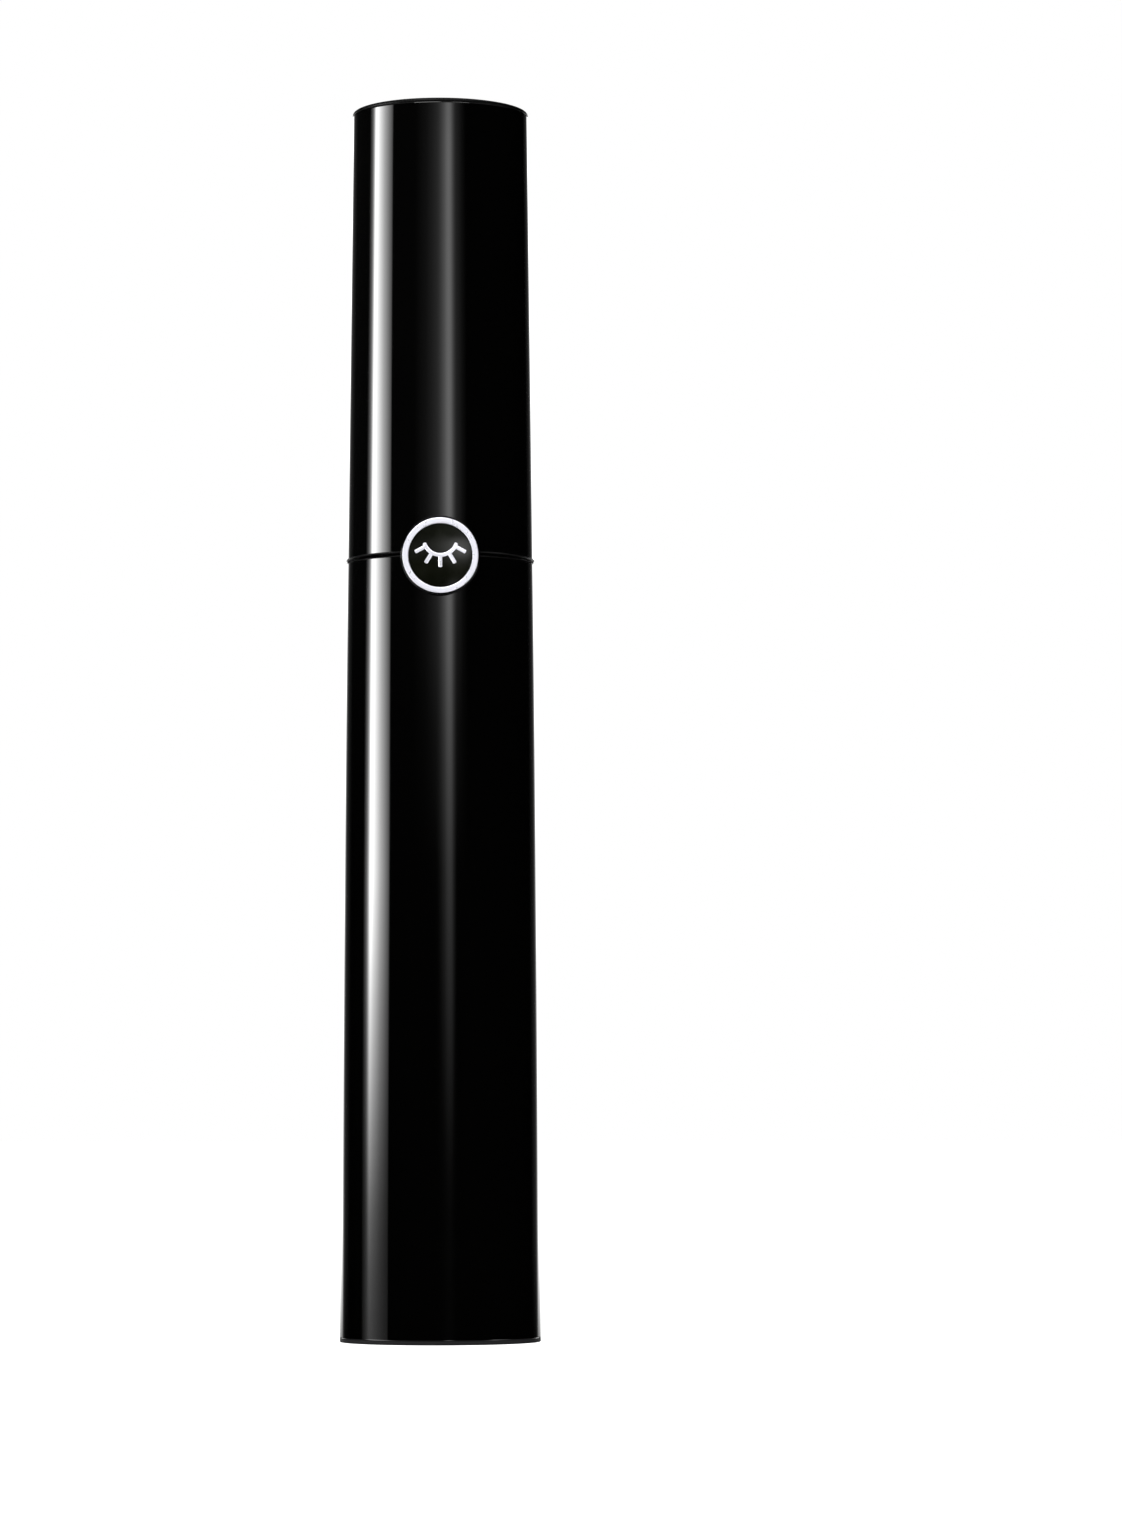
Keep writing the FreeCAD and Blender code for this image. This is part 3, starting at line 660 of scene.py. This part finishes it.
# %% Rod
rod_low, rod_high = span("rod")
STEM, FOOT, HEAD_R = 1.70, 1.10, 2.6
SWELL_HEIGHT = 5.2          # over which the rounded end grows to the full stem
s = np.linspace(0, 1, 16)[1:-1]
swell = [((1 - t) ** 2 * FOOT + (1 - (1 - t) ** 2) * STEM,
          rod_low + 2 * t * (1 - t) * 1.3 + t * t * SWELL_HEIGHT) for t in s]
fit(turned("rod_skin", outline(
    (0, rod_low), (FOOT, rod_low, 0.35), *swell, (STEM, rod_low + SWELL_HEIGHT), (STEM + 0.08, roof),
    (HEAD_R, roof + 0.2), (HEAD_R, rod_high, 0.2), (0, rod_high), closed=False), columns=128, closed=False),
    "cap", "rod", rod_plastic)


# %% Twisted wire
def sweep(name, middle, guide, radius, sides=10):
    """Circle carried along a line: point = middle + radius (N1 cos a + N2 sin a). N1 is the guide
    direction squared off against the tangent, and N2 = tangent x N1."""
    tangent = np.gradient(middle, axis=0)
    tangent /= np.linalg.norm(tangent, axis=1)[:, None]
    one = guide - (guide * tangent).sum(1)[:, None] * tangent
    one /= np.linalg.norm(one, axis=1)[:, None]
    two = np.cross(tangent, one)
    a = np.linspace(0, 2 * np.pi, sides, endpoint=False)
    ring = one[:, None] * np.cos(a)[None, :, None] + two[:, None] * np.sin(a)[None, :, None]
    return skin(name, middle[:, None] + np.asarray(radius)[:, None, None] * ring, around=True)


TWIST = 2.8                 # height of one full turn of the wire
wire_low, wire_high = span("brush_wire")
STRAND, STRAND_R = 0.25, 0.24           # a strand's distance from the axis, and its radius
tip_z = wire_low + 0.85
z = np.linspace(wire_high - 0.3, tip_z, 300)
phase = 2 * np.pi * z / TWIST
t = np.linspace(0, np.pi, 14)[1:-1]
last = phase[-1]
fold_r = STRAND + 0.12 * np.sin(t)
down = np.stack([STRAND * np.cos(phase), STRAND * np.sin(phase), z], axis=1)
fold = np.stack([fold_r * np.cos(t) * np.cos(last), fold_r * np.cos(t) * np.sin(last),
                 tip_z - 0.6 * np.sin(t)], axis=1)
up = np.stack([-down[::-1, 0], -down[::-1, 1], down[::-1, 2]], axis=1)
line = np.concatenate([down, fold, up])
turn = np.concatenate([phase, 0 * t + last, phase[::-1]])
guide = np.stack([-np.sin(turn), np.cos(turn), 0 * turn], axis=1)
thick = np.full(len(line), STRAND_R)
thick[[0, -1]] = 0.0
fit(sweep("twisted_wire", line, guide, thick), "cap", "brush_wire", bright_wire)

# %% [markdown]
# ## Bristles
# Thousands of nylon fibres are laid across the open wire before it is twisted, so they end up as a
# double spiral staircase with the pitch of the twist. Each fibre is a thin three-sided tube
# of a few rings with a slight bend of its own. A good part of them ends short and thick near the
# wire, where the product clumps them into a dark core. One array holds all: fibre, ring, side.

# %% Bristle fibres
brush_low, brush_high = span("bristles")
FIBRES = 5000
SHORT = 0.42                # share of the fibres that are caught in the product near the wire
rng = np.random.default_rng(11)
fz = rng.uniform(brush_low + 0.15, brush_high - 0.15, FIBRES)
side = rng.integers(0, 2, FIBRES) * np.pi
short = rng.random(FIBRES) < SHORT
fan = 2 * np.pi * fz / TWIST + np.pi / 2 + side + rng.normal(0, 1, FIBRES) * np.where(short, 1.2, 0.42)
TIP_R, BRUSH_R, TAPER = 2.4, 3.65, 7.0  # the brush widens from its tip over the height TAPER
envelope = TIP_R + (BRUSH_R - TIP_R) * np.clip((fz - brush_low) / TAPER, 0, 1)
length = (envelope - 0.10) * rng.uniform(0.80, 1.0, FIBRES)
length = length * np.where(short, rng.uniform(0.3, 0.62, FIBRES), 1)
RINGS, SIDES = 6, 3
s = np.linspace(0, 1, RINGS)
bend = rng.normal(0, 0.16, (FIBRES, 2))
out = np.stack([np.cos(fan), np.sin(fan), 0 * fan], axis=1)
across = np.stack([-np.sin(fan), np.cos(fan), 0 * fan], axis=1)
upward = np.array([0.0, 0.0, 1.0])
middle = (out[:, None] * (length[:, None] * s)[..., None]
          + across[:, None] * (bend[:, :1] * length[:, None] * s ** 2)[..., None]
          + upward * (bend[:, 1:] * length[:, None] * 0.8 * s ** 2)[..., None])
middle[..., 2] += fz[:, None]
flat = np.hypot(middle[..., 0], middle[..., 1])
keep = np.minimum(1, (envelope[:, None] - 0.06) / np.maximum(flat, 1e-6))
middle[..., :2] *= keep[..., None]
middle[..., 2] = np.clip(middle[..., 2], brush_low + 0.06, brush_high - 0.06)
CLUMPED_R, FIBRE_R = 0.095, 0.054
radius = np.where(short, CLUMPED_R, FIBRE_R)[:, None] * (1 - 0.55 * s ** 3)
a = np.linspace(0, 2 * np.pi, SIDES, endpoint=False)
ring = across[:, None, None] * np.cos(a)[None, None, :, None] + upward * np.sin(a)[None, None, :, None]
points = middle[:, :, None] + radius[:, :, None, None] * ring
base_index = np.arange(FIBRES)[:, None, None] * (RINGS * SIDES)
j, k = np.arange(RINGS - 1)[None, :, None] * SIDES, np.arange(SIDES)[None, None, :]
nxt = (k + 1) % SIDES
walls = np.stack([base_index + j + k, base_index + j + nxt,
                  base_index + j + SIDES + nxt, base_index + j + SIDES + k], axis=-1)
tips = base_index[..., 0] + (RINGS - 1) * SIDES + np.arange(SIDES)[None, :]
roots = base_index[..., 0] + np.arange(SIDES)[None, ::-1]
mesh_faces = [*walls.reshape(-1, 4).tolist(), *tips.tolist(), *roots.tolist()]
mesh = bpy.data.meshes.new("bristle_fibres")
mesh.from_pydata((points.reshape(-1, 3) * MM).tolist(), [], mesh_faces)
mesh.shade_smooth()
bristles = bpy.data.objects.new("bristle_fibres", mesh)
bpy.context.scene.collection.objects.link(bristles)
fit(bristles, "cap", "bristles", nylon)

# %% [markdown]
# ## The medallion
# A small black coin bridges the seam. It is glued into the cap and hangs over the tube, so its
# back follows the round wall. In its pocket sits a plated ring, a crowned drop of resin, and on
# the resin a raised sign. The sign is a plain one made up for this pack: a closed lid with
# five lashes.

# %% Coin, ring and resin
coin_low, coin_high = span("medallion_carrier")
COIN_Z, COIN_R = (coin_low + coin_high) / 2, (coin_high - coin_low) / 2
front = -span("medallion_carrier", 1)[0]
pocket = front - 0.34
back_r = tube_radius(coin_low) + 0.15
POCKET_R, RING_R, RING_HOLE_R = 4.04, 4.02, 3.39


def facing(points):
    """Stands a turned piece up: (x, y, z) goes to (x, -z, y + coin height), so its axis is -Y."""
    return np.stack([points[..., 0], -points[..., 2], points[..., 1] + COIN_Z], axis=-1)


def follow_wall(points):
    """Stands the coin up and lays every point that is deeper than the wall on the wall itself."""
    placed = facing(points)
    hold = np.where(placed[..., 2] < cap_low, back_r, cap_radius(placed[..., 2]) + SNUG)
    wall_y = -np.sqrt(hold ** 2 - placed[..., 0] ** 2)
    placed[..., 1] = np.minimum(placed[..., 1], wall_y)
    return placed


rim = outline((COIN_R, 0), (COIN_R, front, 0.10), (POCKET_R, front, 0.03), (POCKET_R, pocket),
              closed=False)
back = np.stack([np.linspace(0, COIN_R, 24), np.zeros(24)], axis=1)
side_wall = np.stack([np.full(12, COIN_R), np.linspace(8.4, front - 0.16, 12)], axis=1)
face = np.stack([np.linspace(3.98, 0, 6), np.full(6, pocket)], axis=1)
fit(turned("medallion_coin", np.concatenate([back, side_wall, rim[1:], face]), columns=192,
           closed=False, place=follow_wall), "cap", "medallion_carrier", coin_plastic)

ring_front = -span("medallion_ring", 1)[0]
fit(turned("medallion_silver_ring", outline(
    (RING_HOLE_R, pocket), (RING_R, pocket), (RING_R, ring_front, 0.12), (RING_HOLE_R, ring_front, 0.10)),
    columns=192, place=facing), "cap", "medallion_ring", silver)

dome_front = -span("medallion_dome", 1)[0]
DOME_R, DOME_EDGE = 3.37, pocket + 0.12
ball = (DOME_R ** 2 + (dome_front - DOME_EDGE) ** 2) / (2 * (dome_front - DOME_EDGE))
rho = DOME_R * np.linspace(1, 0, 24) ** 0.8
crown = np.stack([rho, dome_front - ball + np.sqrt(ball ** 2 - rho ** 2)], axis=1)
fit(turned("medallion_resin_drop", np.concatenate([[[0, pocket], [DOME_R, pocket]], crown]),
           columns=160, closed=False, place=facing), "cap", "medallion_dome", resin)


# %% The raised sign
def stroke(x, z, dx, dz, width=0.42, proud=0.06):
    """Raised line on the crowned resin, along the middle line x, z with side direction dx, dz.
    Across it the height falls as 1 - c^6, and near both ends the width closes in a short curve."""
    x, z, dx, dz = (np.asarray(v, float)[:, None] for v in (x, z, dx, dz))
    c = np.linspace(-1, 1, 11)[None, :]
    run = np.concatenate([[0], np.cumsum(np.hypot(np.diff(x[:, 0]), np.diff(z[:, 0])))])[:, None]
    gap = np.minimum(run, run[-1] - run) / 0.10
    half = width / 2 * np.sqrt(np.clip(1 - (1 - np.minimum(gap, 1)) ** 2, 0, 1))
    x, z = x + c * half * dx, z + c * half * dz
    crown_y = dome_front - ball + np.sqrt(ball ** 2 - x ** 2 - z ** 2)
    lift = proud * (1 - c ** 6) * (gap > 1e-9) - 0.01 * c ** 6
    return np.stack([x, -(crown_y + lift), z + COIN_Z], axis=-1)


LID_R, LASH = 1.75, 1.30
LID_SPREAD, LASH_SPREAD = np.radians(150.0), np.radians(124.0)
lid_z = (LID_R * math.cos(LID_SPREAD / 2) + LID_R + LASH) / 2


def ease(count):
    """Steps from 0 to 1 that crowd at both ends: (1 - cos(pi s)) / 2."""
    return (1 - np.cos(np.pi * np.linspace(0, 1, count))) / 2


b = (ease(60) - 0.5) * LID_SPREAD
strokes = [stroke(LID_R * np.sin(b), lid_z - LID_R * np.cos(b), -np.sin(b), np.cos(b))]
for b in LASH_SPREAD * (np.linspace(0, 1, 5) - 0.5):
    far = LID_R - 0.1 + (LASH + 0.1) * ease(24)
    strokes.append(stroke(far * math.sin(b), lid_z - far * math.cos(b),
                          np.full(24, math.cos(b)), np.full(24, math.sin(b))))
sheets = [skin("sign_stroke", points, around=False) for points in strokes]
with bpy.context.temp_override(active_object=sheets[0], selected_editable_objects=sheets, object=sheets[0]):
    bpy.ops.object.join()
sign = sheets[0]
sign.name = sign.data.name = "medallion_sign"
fit(sign, "cap", "medallion_motif", silver)
